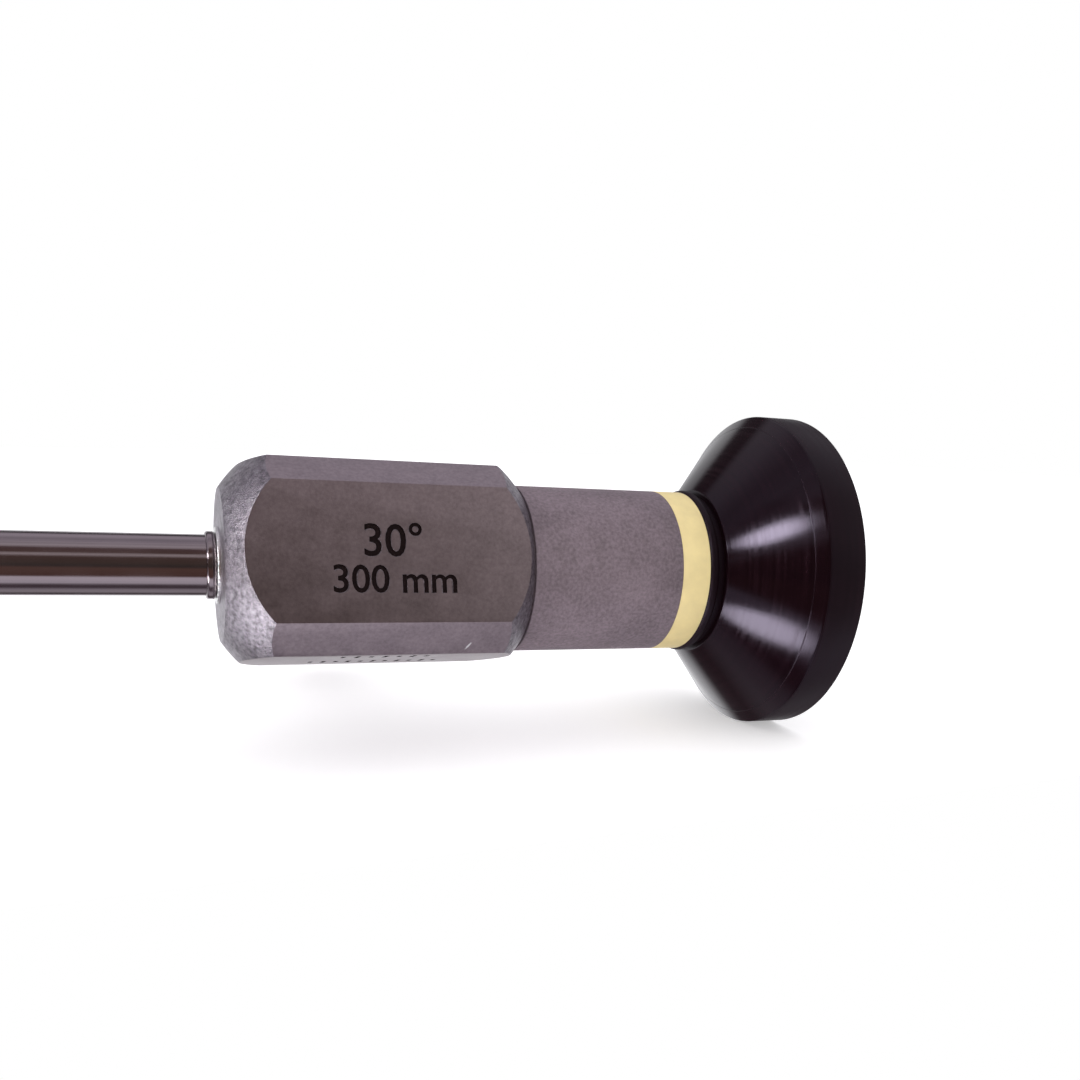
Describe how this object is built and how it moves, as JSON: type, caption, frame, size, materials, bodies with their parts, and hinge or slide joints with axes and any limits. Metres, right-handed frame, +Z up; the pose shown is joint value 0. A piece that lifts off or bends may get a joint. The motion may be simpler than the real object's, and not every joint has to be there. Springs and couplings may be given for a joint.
{
  "type": "rigid endoscope",
  "caption": "Rod-lens rigid endoscope: a long thin steel shaft with a bevelled 30 degree tip, a crowned square housing with a light post, and a flared black eyepiece.",
  "frame": {"origin": "on the optical axis at the root of the free shaft, in the plane of the shaft collar's front face", "axes": "+X along the optical axis towards the eyepiece, so the shaft points along -X; +Z up with the instrument lying on a table; the label face looks towards -Y and a little up, and the light post points towards +Y and a little down"},
  "size_m": [0.3585, 0.0537, 0.032],
  "materials": {
    "polished_steel": "polished",
    "blasted_steel": "bead-blasted satin",
    "inner_steel": "turned",
    "black_metal": "black anodised",
    "gold_ring": "satin gilt",
    "black_eyecup": "satin black",
    "lens_glass": "polished",
    "fibre_glass": "bundled fibres, ground ends",
    "seal_rubber": "matt"
  },
  "bodies": {
    "root": {"aperture_plate": "black_metal", "colour_ring": "gold_ring", "deflecting_prism": "lens_glass", "distal_window": "lens_glass", "eyecup": "black_eyecup", "eyecup_seal": "seal_rubber", "eyepiece_window": "lens_glass", "field_stop": "black_metal", "housing_block": "blasted_steel", "light_cable_adapter": "polished_steel", "light_guide_bundle": "fibre_glass", "light_guide_ferrule": "inner_steel", "light_inlet_glass": "lens_glass", "light_post": "polished_steel", "objective_doublet": "lens_glass", "objective_lens": "lens_glass", "objective_spacer": "inner_steel", "ocular_lens_front": "lens_glass", "ocular_lens_rear": "lens_glass", "ocular_lock_ring": "black_metal", "ocular_spacer_front": "black_metal", "ocular_spacer_rear": "black_metal", "ocular_tube": "black_metal", "optic_tube": "inner_steel", "optic_tube_bush": "inner_steel", "outer_sheath_tube": "polished_steel", "post_seal": "seal_rubber", "rear_sleeve": "blasted_steel", "rod_lens_1": "lens_glass", "rod_lens_2": "lens_glass", "rod_lens_3": "lens_glass", "rod_lens_4": "lens_glass", "rod_lens_5": "lens_glass", "rod_lens_6": "lens_glass", "rod_lens_7": "lens_glass", "shaft_collar": "polished_steel", "spacer_tube_1": "inner_steel", "spacer_tube_2": "inner_steel", "spacer_tube_3": "inner_steel", "spacer_tube_4": "inner_steel", "spacer_tube_5": "inner_steel", "spacer_tube_6": "inner_steel", "spacer_tube_7": "inner_steel", "window_frame": "inner_steel"}
  },
  "joints": []
}
